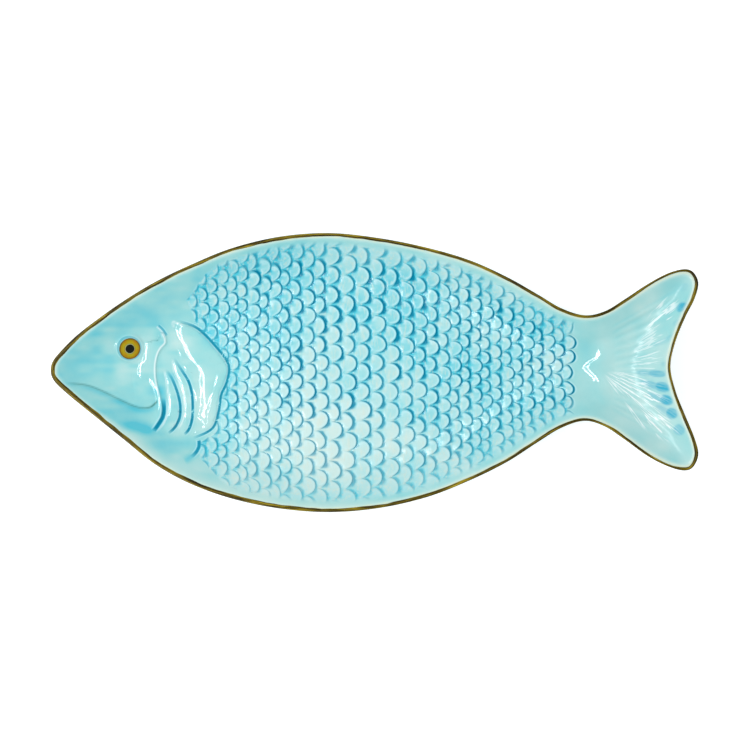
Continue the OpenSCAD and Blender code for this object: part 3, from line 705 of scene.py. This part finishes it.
# how blue the glaze is: 0 where it ran thin, 1 where it lies thick
bluer = {
    "smoothParts": 0.34,
    "amongScales": 0.36,
    "clouds": [(0.08, 2, 16), (0.06, 3, 7)],  # amount, layer of noise, size
    "brushMarks": 0.08,
    "shade": 0.6,
    "valleys": 0.12,
    "softBlue": 0.5,
    "blots": [  # place, radius along, radius across, amount
        (0.03, 0.0, 34, 26, 0.34), (0.13, 0.2, 60, 14, 0.22), (0.115, -0.17, 26, 14, 0.22),
        (0.147, -0.212, 6, 3, 0.5), (0.135, -0.198, 8, 3.4, 0.5), (0.122, -0.184, 8, 3, 0.35),
        (0.19, -0.26, 18, 6, 0.4),
        (0.125, 0.02, 14, 14, -0.06), (0.235, -0.1, 9, 24, -0.24), (0.205, 0.1, 6, 12, -0.1),
        (0.245, 0.13, 10, 7, 0.3), (0.2, 0.2, 26, 9, 0.15), (0.3, 0.37, 40, 9, 0.2),
        (0.4, 0.46, 60, 9, 0.1), (0.17, 0.13, 5, 8, 0.22), (0.163, 0.02, 3, 22, 0.16),
        (0.52, 0.29, 34, 26, 0.26), (0.6, 0.2, 40, 24, 0.08), (0.41, 0.31, 26, 14, 0.12),
        (0.34, 0.08, 26, 20, 0.27), (0.49, 0.0, 16, 18, 0.12), (0.6, 0.42, 40, 9, -0.22),
        (0.265, 0.29, 10, 10, -0.12), (0.345, 0.42, 22, 9, 0.2), (0.66, 0.1, 14, 16, -0.15),
        (0.68, -0.09, 20, 10, 0.16), (0.77, 0.3, 12, 8, -0.14), (0.1, -0.22, 14, 9, -0.18),
        (0.488, -0.35, 12, 10, 0.15), (0.985, -0.34, 8, 8, -0.3), (0.94, -0.22, 14, 12, -0.16),
        (0.29, 0.25, 40, 18, 0.22), (0.62, 0.07, 34, 24, 0.2), (0.75, 0.16, 30, 12, 0.28),
        (0.7, 0.02, 34, 14, 0.12), (0.27, 0.02, 8, 30, 0.16), (0.44, -0.24, 60, 26, -0.3),
        (0.42, 0.05, 30, 20, -0.04), (0.36, -0.3, 60, 18, -0.1), (0.64, -0.2, 24, 12, 0.16),
        (0.829, 0.1, 8, 14, 0.22), (0.9, 0.0, 26, 60, -0.16), (0.26, -0.27, 12, 8, 0.2),
        (0.49, 0.12, 10, 16, 0.16), (0.57, 0.33, 20, 8, 0.2), (0.45, -0.47, 90, 8, 0.16),
        (0.36, 0.06, 40, 40, -0.1), (0.04, 0.05, 10, 12, -0.1), (0.07, 0.14, 16, 5, 0.14),
    ],
}
amongScales = smooth(field / 3) * inScales
amongScales[headArea] *= uncovered
tint = bluer["smoothParts"] + (bluer["amongScales"] - bluer["smoothParts"]) * amongScales
for amount, layer, cell in bluer["clouds"]:
    tint += amount * drift(points, layer, cell)
tint += bluer["brushMarks"] * smooth((-90 - px) / 30) * drift(points * [0.35, 1], 1, 2.8)
for x, y, alongRadius, acrossRadius, amount in bluer["blots"]:
    middle = plan((x, y))[0]
    tint += amount * np.exp(-((px - middle[0]) / alongRadius) ** 2
                            - ((py - middle[1]) / acrossRadius) ** 2)
tint += bluer["valleys"] * rayValley + bluer["softBlue"] * softBlue * (1 - onPad)
tint += amongScales * (bluer["shade"] * shadeInScale * (0.45 + tint) - 0.08)

rimPale = {  # where the glaze runs thin beside the rim, measured in from the outline
    "start": 2.4,
    "reach": 2.2,
    "bellyReach": 5.0,
    "creamPlace": 2.15,
    "creamWidth": 0.45,
    "cream": 0.75,
}
bellySide = smooth((-py - 20) / 25) * smooth((30 - px) / 60)
paleReach = rimPale["reach"] + rimPale["bellyReach"] * bellySide
paleEdge = 1 - smooth((rimGap - rimPale["start"]) / paleReach)
creamLine = rimPale["cream"] * hump((rimGap - rimPale["creamPlace"]) / rimPale["creamWidth"])

positions = np.column_stack([points, height + relief])
positions[snap, 2] = platter["lipTop"]
positions = positions.reshape(gridColumns, gridRows, 3).transpose(1, 0, 2)
dish, gridRow, gridColumn = shapedGrid("dish_glaze", positions)


def perPoint(values):
    return values.reshape(gridColumns, gridRows).T[gridRow, gridColumn]


softTail = tail["softer"] * smooth((px - tail["softerFrom"]) / tail["softerReach"])
for name, values in (
        ("pool", pool), ("poolDepth", poolDepth * smooth((rimGap - 4.2) / 1.5)), ("tint", tint),
        ("amongScales", amongScales), ("softer", np.maximum(amongScales, softTail)),
        ("dabs", dabs), ("mouthInk", mouthInk), ("streaks", streaks),
        ("highlightOutline", highlightOutline), ("paleEdge", paleEdge), ("creamLine", creamLine)):
    storeOn(dish, name, perPoint(values))
corners = np.empty(len(dish.data.loops), int)
dish.data.loops.foreach_get("vertex_index", corners)
corners = corners.reshape(-1, 4)
faceKept = perPoint(isInside)[corners].any(1) & perPoint(keep)[corners].all(1)
selectOnly(dish)
bpy.context.tool_settings.mesh_select_mode = (False, False, True)
for parts in (dish.data.vertices, dish.data.edges):
    parts.foreach_set("select", np.zeros(len(parts), bool))
dish.data.polygons.foreach_set("select", ~faceKept)
bpy.ops.object.mode_set(mode="EDIT")
bpy.ops.mesh.delete(type="FACE")
bpy.context.tool_settings.mesh_select_mode = (True, False, False)
bpy.ops.mesh.select_all(action="SELECT")
bpy.ops.mesh.delete_loose()
bpy.ops.mesh.select_all(action="SELECT")
bpy.ops.mesh.dissolve_degenerate(threshold=1e-6)
bpy.ops.object.mode_set(mode="OBJECT")
bpy.ops.object.shade_smooth_by_angle(angle=math.radians(38))
print("stage: dish", len(dish.data.polygons), "faces")

underside = {
    "bottom": 3.0,
    "run": 33.0,  # how far its slope reaches in
    "lipFace": 3.2,  # height of the lip's outer face
    "reachIn": 40.0,
    "rings": 16,
    # places along the middle line that the points of the outline are joined to
    "spine": [
        0.035, 0.045, 0.058, 0.075, 0.097, 0.125, 0.163, 0.2145, 0.279, 0.3535,
        0.4305, 0.508, 0.582, 0.647, 0.705, 0.7515, 0.7885, 0.82, 0.841, 0.855,
        0.866, 0.874, 0.88, 0.885, 0.889, 0.893, 0.897, 0.901, 0.906,
    ],
    "tailFrom": 17,  # place on the spine from which the rings reach all the way in
    "steps": 8,
}
edge = closedCurve(outlineKnots, underside["steps"])
edgeIn = inwardOf(edge)
spineX = openCurve([(s, 0) for s in underside["spine"]], underside["steps"])[:, 0]
around = np.arange(len(edge))
spineIndex = np.minimum(around, len(edge) - around)
spineY = (edge[:, 1] + edge[(-around) % len(edge), 1]) / 2
spine = np.stack([spineX[spineIndex], spineY], 1)
wallStart = edge + edgeIn * platter["lipWidth"]
toSpine = spine - wallStart
spineGap = np.linalg.norm(toSpine, axis=1)
reachIn = np.where(spineIndex > underside["tailFrom"] * underside["steps"], spineGap,
                   np.minimum(spineGap, underside["reachIn"]))


def underHeight(p):
    depth = platter["lipTop"] - underside["lipFace"] - underside["bottom"]
    return underside["bottom"] + depth * rise(inset(p), underside["run"])


rings = []
shellRing = edge + edgeIn * platter["shellInset"]
for down in (0, 1, underside["lipFace"] - 0.9):
    rings.append(np.column_stack([shellRing, np.full(len(edge), platter["lipTop"] - down)]))
for s in (0.25, 0.6, 1.0):
    inFromEdge = platter["shellInset"] + (platter["lipWidth"] - platter["shellInset"]) * s
    ring = edge + edgeIn * inFromEdge
    rings.append(np.column_stack([ring, underHeight(ring) + 0.5 * (1 - s) ** 2]))
for s in np.linspace(0, 1, underside["rings"])[1:]:
    ring = wallStart + toSpine * (reachIn / spineGap * s)[:, None]
    rings.append(np.column_stack([ring, underHeight(ring)]))
rings.append(np.column_stack([spine, underHeight(spine)]))
rings = np.array(rings)
under, _, _ = shapedGrid("dish_underside", np.concatenate([rings, rings[:, :1]], 1))
weld(under)

band = {
    "widthAlong": [(-200, 2.6), (-150, 2.2), (0, 2.1), (100, 1.95), (150, 1.85), (183, 1.5),
                   (190, 1.9), (200, 2.2)],
    "widerAtBelly": 0.14,
    "waver": [(0.07, 4, 14), (0.05, 5, 5)],  # amount, layer of noise, size
    "height": 0.594,
    "inset": 0.07,
    "profile": [(0, -0.55), (0.0, 0.05), (0.03, 0.4), (0.12, 0.72), (0.28, 0.94), (0.5, 1),
                (0.7, 0.92), (0.88, 0.62), (0.97, 0.25), (1, -0.1)],
}
bandWidth = np.interp(outline[:, 0], *zip(*band["widthAlong"]))
atBelly = smooth(-outline[:, 1] / 30) * smooth((40 - outline[:, 0]) / 60)
bandWidth *= 1 + band["widerAtBelly"] * atBelly
bandWidth *= 1 + sum(amount * drift(outline, layer, cell) for amount, layer, cell in band["waver"])
sections = []
for inShare, upShare in band["profile"]:
    ring = outline + outlineIn * (band["inset"] + inShare * bandWidth)[:, None]
    z = platter["lipTop"] + band["height"] * upShare
    sections.append(np.column_stack([ring, np.full(len(ring), z)]))
sections = np.array(sections)
rim, bandRow, bandColumn = shapedGrid("rim_lustre", np.concatenate([sections, sections[:, :1]], 1))
outlineSteps = np.linalg.norm(np.diff(outline, axis=0), axis=1)
along = np.concatenate([[0], np.cumsum(outlineSteps)])
storeOn(rim, "along", np.concatenate([along, [along[-1] + 0.3]])[bandColumn])
storeOn(rim, "acrossBand", bandRow / (len(band["profile"]) - 1))
weld(rim)
print("stage: rim and underside")


def seatOnPad(piece):
    turn = Vector((0, 0, 1)).rotation_difference(eyeNormal).to_matrix().to_4x4()
    place = Vector((eyeAt[0], eyeAt[1], eyeZ)) * mm
    place += eyeNormal * (eye["padLift"] - eye["sunk"]) * mm
    piece.data.transform(Matrix.Translation(place) @ turn)
    piece.matrix_world = Matrix.Identity(4)


def roundDisc(name, radius, height, rounding, sides, insets=6):
    selectOnly()
    bpy.ops.mesh.primitive_cylinder_add(vertices=sides, radius=radius * mm, depth=height * mm,
                                        location=(0, 0, 0))
    piece = bpy.context.object
    piece.name = piece.data.name = name
    for v in piece.data.vertices:
        v.co.z += height * mm / 2
    bpy.ops.object.mode_set(mode="EDIT")
    bpy.ops.mesh.select_all(action="DESELECT")
    bpy.ops.object.mode_set(mode="OBJECT")
    for f in piece.data.polygons:
        f.select = f.normal.z > 0.9
    bpy.ops.object.mode_set(mode="EDIT")
    for step in range(insets):
        bpy.ops.mesh.inset(thickness=radius * mm * 0.14)
    bpy.ops.object.mode_set(mode="OBJECT")
    for v in piece.data.vertices:  # crowned top
        r = math.hypot(v.co.x, v.co.y) / (radius * mm)
        if v.co.z > height * mm * 0.9:
            v.co.z = height * mm * (1 - rounding * r ** 3)
    seatOnPad(piece)
    selectOnly(piece)
    bpy.ops.object.shade_smooth_by_angle(angle=math.radians(50))
    return piece


iris = roundDisc("eye_ring", eye["irisRadius"], eye["irisHeight"], 0.5, 72)
pupil = roundDisc("eye_dark", eye["pupilRadius"], eye["pupilHeight"], 0.12, 48)

print("stage: glazes")
glaze = {
    "smoothPale": (194, 229, 226),
    "smoothMiddle": (152, 217, 219),
    "smoothBlue": (92, 200, 217),
    "scalePale": (205, 232, 228),
    "scaleMiddle": (152, 220, 226),
    "scaleBlue": (78, 203, 222),
    "outsideBlue": (118, 205, 217),
    "ink": (0, 133, 166),
    "wash": (78, 204, 224),
    "dab": (56, 176, 206),
    "mouth": (50, 124, 116),
    # painted highlight: pale halo beside the pooled lines
    "highlightHalo": (206, 243, 248),
    "pale": (203, 230, 222),
    "cream": (226, 232, 198),
    # painted highlight: near-white lines on the tail rays and along the plate edges
    "paintedHighlight": (244, 255, 255),
    "grain": (218, 228, 214),
    "roughness": 0.07,
    "scaleRoughness": 0.16,  # with the tail's own share it stays under 0.27: above, a seam shows
    "outsideRoughness": 0.14,
    "ripple": 0.02,
    "scaleRipple": 0.12,
}


def colourOf(c):
    # a number is a grey, a word one of the glaze's colours, three numbers are sRGB
    if isinstance(c, (int, float)):
        return (c, c, c, 1)
    out = []
    for v in glaze[c] if isinstance(c, str) else c:
        v /= 255
        out.append(v / 12.92 if v <= 0.04045 else ((v + 0.055) / 1.055) ** 2.4)
    return (*out, 1)


def newMaterial(name, roughness):
    material = bpy.data.materials.new(name)
    material.use_nodes = True
    shader = material.node_tree.nodes["Principled BSDF"]
    shader.inputs["Roughness"].default_value = roughness
    return material, material.node_tree, shader


def feed(socket, value):
    # a number or colour is set on the socket itself, and an output is linked to it;
    # this and the functions after it work on the node tree in hand
    if isinstance(value, (int, float)):
        socket.default_value = value
    elif isinstance(value, (str, tuple)):
        socket.default_value = colourOf(value)
    elif value is not None:
        tree.links.new(value, socket)


def attribute(name):
    node = tree.nodes.new("ShaderNodeAttribute")
    node.attribute_name = name
    return node.outputs["Fac"]


def ownPlace():
    return tree.nodes.new("ShaderNodeTexCoord").outputs["Object"]


def ramp(value, stops):
    node = tree.nodes.new("ShaderNodeValToRGB")
    while len(node.color_ramp.elements) < len(stops):
        node.color_ramp.elements.new(0.5)
    for element, (place, colour) in zip(node.color_ramp.elements, stops):
        element.position = place
        element.color = colourOf(colour)
    feed(node.inputs["Fac"], value)
    return node.outputs["Color"]


def arithmetic(operation, a, b=None, c=None, clamped=False):
    node = tree.nodes.new("ShaderNodeMath")
    node.operation = operation
    node.use_clamp = clamped
    for socket, value in zip(node.inputs, (a, b, c)):
        feed(socket, value)
    return node.outputs[0]


def times(a, b, clamped=False):
    return arithmetic("MULTIPLY", a, b, clamped=clamped)


def mixColour(amount, a, b):
    node = tree.nodes.new("ShaderNodeMix")
    node.data_type = "RGBA"
    for i, value in ((0, amount), (6, a), (7, b)):
        feed(node.inputs[i], value)
    return node.outputs[2]


def noise(scale, detail=3, roughness=0.5, vector=None):
    node = tree.nodes.new("ShaderNodeTexNoise")
    for name, value in (("Scale", scale), ("Detail", detail), ("Roughness", roughness),
                        ("Vector", vector or ownPlace())):
        feed(node.inputs[name], value)
    return node.outputs["Fac"]


def flatVector(x, y):
    node = tree.nodes.new("ShaderNodeCombineXYZ")
    feed(node.inputs[0], x)
    feed(node.inputs[1], y)
    return node.outputs[0]


def bump(height, strength, below=None):
    node = tree.nodes.new("ShaderNodeBump")
    for name, value in (("Strength", strength), ("Distance", 0.001), ("Height", height),
                        ("Normal", below)):
        feed(node.inputs[name], value)
    return node.outputs["Normal"]


aqua, tree, shader = newMaterial("aqua glaze", glaze["roughness"])
uneven = arithmetic("MULTIPLY_ADD", noise(70, 4), 0.4, -0.2)
thickness = arithmetic("ADD", attribute("tint"), uneven)
ground = mixColour(
    attribute("amongScales"),
    ramp(thickness, [(0.0, "smoothPale"), (0.5, "smoothMiddle"), (1.0, "smoothBlue")]),
    ramp(thickness, [(0.0, "scalePale"), (0.5, "scaleMiddle"), (1.0, "scaleBlue")]))
grain = tree.nodes.new("ShaderNodeMapping")  # stretched along the width of the dish
grain.inputs["Scale"].default_value = (1, 0.28, 1)
feed(grain.inputs["Vector"], ownPlace())
grainNoise = noise(620, 2, vector=grain.outputs["Vector"])
grainAmount = times(ramp(grainNoise, [(0.5, 0), (0.66, 0.42)]), attribute("amongScales"))
ground = mixColour(grainAmount, ground, "grain")

# pooled lines: ink in the middle, a wash round it and a painted highlight as a pale halo beside it
wobble = arithmetic("MULTIPLY_ADD", noise(450, 2), 0.3, -0.15)
nearLine = arithmetic("DIVIDE", arithmetic("ADD", attribute("pool"), wobble), 5.0, clamped=True)
howDark = attribute("poolDepth")
ink = ramp(nearLine, [(0.0, 1), (0.175, 1), (0.215, 0.66), (0.255, 0.16), (0.3, 0)])
wash = ramp(nearLine, [(0.15, 1), (0.26, 0.8), (0.36, 0)])
# painted highlight: a pale halo beside each pooled line along the scale edges
highlightHalo = ramp(nearLine, [(0.0, 0), (0.27, 0), (0.36, 1), (0.46, 0.4), (0.62, 0)])
inkAmount = times(ink, howDark, clamped=True)
colour = mixColour(times(times(highlightHalo, howDark), 0.75, clamped=True), ground, "highlightHalo")
colour = mixColour(times(wash, times(howDark, 0.6)), colour, "wash")
colour = mixColour(inkAmount, colour, "ink")
feed(shader.inputs["Specular IOR Level"], arithmetic("SUBTRACT", 0.5, times(inkAmount, 0.35)))
colour = mixColour(attribute("mouthInk"), colour, "mouth")

# painted highlight streaks and pooled blue dabs that fan out over the tail
fromHub = tree.nodes.new("ShaderNodeVectorMath")
fromHub.operation = "SUBTRACT"
feed(fromHub.inputs[0], ownPlace())
fromHub.inputs[1].default_value = (tailHub[0] * mm, tailHub[1] * mm, 0)
hubParts = tree.nodes.new("ShaderNodeSeparateXYZ")
feed(hubParts.inputs[0], fromHub.outputs[0])
turnRound = arithmetic("ARCTAN2", hubParts.outputs[1], hubParts.outputs[0])
fan = flatVector(times(turnRound, 13.0), times(hubParts.outputs[0], 34.0))
dabTexture = ramp(noise(3.2, 3, 0.6, fan), [(0.38, 0.62), (0.58, 1)])
colour = mixColour(times(attribute("dabs"), dabTexture), colour, "dab")
# painted highlight: near-white lines along the rays inside the streak patches
fanHighlightLines = ramp(noise(1.6, 2, 0.6, fan), [(0.53, 0), (0.565, 1), (0.62, 1), (0.66, 0)])
colour = mixColour(times(fanHighlightLines, attribute("streaks")), colour, "paintedHighlight")
# painted highlight along the plate edges, partly glaze running thin there
colour = mixColour(attribute("highlightOutline"), colour, "paintedHighlight")
colour = mixColour(times(attribute("paleEdge"), 0.7), colour, "pale")
colour = mixColour(attribute("creamLine"), colour, "cream")
feed(shader.inputs["Base Color"], colour)
feed(shader.inputs["Roughness"], arithmetic(
    "MULTIPLY_ADD", attribute("softer"), glaze["scaleRoughness"] - glaze["roughness"],
    glaze["roughness"]))
ripple = bump(noise(240, 2), glaze["ripple"])
feed(shader.inputs["Normal"], bump(times(grainNoise, attribute("amongScales")),
                                   glaze["scaleRipple"], ripple))

outerAqua, tree, shader = newMaterial("aqua glaze outside", glaze["outsideRoughness"])
feed(shader.inputs["Base Color"], ramp(noise(28, 4), [
    (0.3, "smoothPale"), (0.6, "smoothMiddle"), (0.9, "outsideBlue")]))

lustre = {
    "roughness": 0.35,
    "metallic": 0.15,
    "specular": 0.3,
    "colours": [(0.36, (32, 25, 2)), (0.47, (76, 64, 4)), (0.56, (128, 110, 10)),
                (0.68, (186, 164, 36))],
    "streaks": (0.022, 1.6),  # repeats along and across the band
}
bronze, tree, shader = newMaterial("bronze lustre", lustre["roughness"])
shader.inputs["Metallic"].default_value = lustre["metallic"]
shader.inputs["Specular IOR Level"].default_value = lustre["specular"]
stretched = flatVector(times(attribute("along"), lustre["streaks"][0]),
                       times(attribute("acrossBand"), lustre["streaks"][1]))
feed(shader.inputs["Base Color"], ramp(noise(2.2, 5, 0.65, stretched), lustre["colours"]))

eyeGlaze = {
    "rings": [(0.36, (48, 46, 30)), (0.43, (176, 186, 140)), (0.5, (150, 142, 40)),
              (0.62, (178, 158, 22)), (0.84, (164, 136, 18)), (0.93, (128, 96, 20)),
              (1.0, (96, 84, 44))],
    "flecks": (184, 98, 18),
    "pupil": (26, 30, 24),
    "ringRoughness": 0.1,
    "pupilRoughness": 0.08,
}
ochre, tree, shader = newMaterial("ochre glaze", eyeGlaze["ringRoughness"])
away = tree.nodes.new("ShaderNodeVectorMath")
away.operation = "DISTANCE"
feed(away.inputs[0], ownPlace())
away.inputs[1].default_value = tuple(
    Vector((eyeAt[0] * mm, eyeAt[1] * mm, eyeZ * mm)) + eyeNormal * (eye["padLift"] + 0.6) * mm)
ringPlace = times(away.outputs["Value"], 1 / (eye["irisRadius"] * mm))
ringPlace = arithmetic("ADD", ringPlace, arithmetic("MULTIPLY_ADD", noise(500), 0.12, -0.06))
flecks = ramp(noise(260), [(0.54, 0), (0.7, 0.6)])
feed(shader.inputs["Base Color"],
     mixColour(flecks, ramp(ringPlace, eyeGlaze["rings"]), eyeGlaze["flecks"]))
black, tree, shader = newMaterial("black glaze", eyeGlaze["pupilRoughness"])
feed(shader.inputs["Base Color"], eyeGlaze["pupil"])

bareClay = {"roughness": 0.85, "colours": [(0.35, (208, 192, 166)), (0.65, (228, 216, 194))]}
clay, tree, shader = newMaterial("bare clay", bareClay["roughness"])
feed(shader.inputs["Base Color"], ramp(noise(300, 5), bareClay["colours"]))

for piece, material in ((dish, aqua), (under, outerAqua), (rim, bronze), (iris, ochre),
                        (pupil, black)):
    piece.data.materials.append(material)
for node, material in (("platter_body", aqua), ("rim_band", bronze), ("eye_iris", ochre),
                       ("eye_pupil", black), ("foot_ring", clay)):
    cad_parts[node].data.materials.clear()
    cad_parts[node].data.materials.append(material)

for piece, node, finish in ((dish, "platter_body", "aqua_glaze"),
                            (under, "platter_body", "aqua_glaze"),
                            (rim, "rim_band", "bronze_lustre"),
                            (iris, "eye_iris", "ochre_glaze"),
                            (pupil, "eye_pupil", "black_glaze")):
    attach(piece, "root")
    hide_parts(node)

print("stage: floor, lights and camera")
studio = {
    "floorSize": 8.0,  # metres
    "floorGrey": 0.86,
    "floorShine": 0.5,  # light that only the camera and mirroring surfaces see on the floor
    "cameraLens": 300.0,
    "sensor": 36.0,
    "imageWidth": 750 * 0.6173,  # millimetres of the dish that the picture spans at the rim
    "focusHeight": 28.0,
    "lookAt": (0.3, -1.5),
    "sideWorld": 0.8,
    "topWorld": 0.76,
    "sideGloss": 0.5,
    "topGloss": 0.06,
    "stripPlace": (-0.545, 0.0, 1.3),  # metres, as its size
    "stripSize": (0.06, 1.6),
    "stripWatts": 8.6,
}
selectOnly()
bpy.ops.mesh.primitive_plane_add(size=studio["floorSize"], location=(0, 0, -0.0002))
floor = bpy.context.object
floor.name = "floor"
pale, tree, surface = newMaterial("pale floor", 0.9)
surface.inputs["Base Color"].default_value = colourOf(studio["floorGrey"])
surface.inputs["Specular IOR Level"].default_value = 0.1
shine = tree.nodes.new("ShaderNodeEmission")
shine.inputs["Color"].default_value = (1, 1, 1, 1)
seen = tree.nodes.new("ShaderNodeLightPath")
mirrored = arithmetic("MAXIMUM", seen.outputs["Is Glossy Ray"], seen.outputs["Is Transmission Ray"])
seenAtAll = arithmetic("MAXIMUM", seen.outputs["Is Camera Ray"], mirrored)
feed(shine.inputs["Strength"], times(seenAtAll, studio["floorShine"]))
both = tree.nodes.new("ShaderNodeAddShader")
feed(both.inputs[0], surface.outputs[0])
feed(both.inputs[1], shine.outputs[0])
feed(tree.nodes["Material Output"].inputs["Surface"], both.outputs[0])
floor.data.materials.append(pale)

world = bpy.data.worlds.new("studio")
bpy.context.scene.world = world
world.use_nodes = True
tree = world.node_tree
skyParts = tree.nodes.new("ShaderNodeSeparateXYZ")
feed(skyParts.inputs[0], tree.nodes.new("ShaderNodeTexCoord").outputs["Generated"])
upInSky = skyParts.outputs[2]
plainSky = ramp(upInSky, [(0.2, studio["sideWorld"]), (0.8, studio["topWorld"])])
# the dark ceiling that the glaze mirrors
glossySky = ramp(upInSky, [(0.0, studio["sideGloss"]), (0.45, studio["topGloss"])])
rayKind = tree.nodes.new("ShaderNodeLightPath")
background = tree.nodes["Background"]
feed(background.inputs["Color"],
     mixColour(rayKind.outputs["Is Glossy Ray"], plainSky, glossySky))
background.inputs["Strength"].default_value = 1.0

selectOnly()
place = studio["stripPlace"]  # the strip lies along the width of the dish and faces it
bpy.ops.object.light_add(type="AREA", location=place,
                         rotation=(0, math.atan2(place[0], place[2]), 0))
strip = bpy.context.object
strip.name = "left strip"
strip.data.shape = "RECTANGLE"
strip.data.size, strip.data.size_y = studio["stripSize"]
strip.data.energy = studio["stripWatts"]

selectOnly()
distance = studio["imageWidth"] * mm * studio["cameraLens"] / studio["sensor"]
bpy.ops.object.camera_add(
    location=(studio["lookAt"][0] * mm, studio["lookAt"][1] * mm,
              distance + studio["focusHeight"] * mm), rotation=(0, 0, 0))
camera = bpy.context.object
camera.data.lens = studio["cameraLens"]
camera.data.sensor_width = studio["sensor"]
camera.data.clip_end = 20
bpy.context.scene.camera = camera
bpy.context.scene.view_settings.view_transform = "Standard"
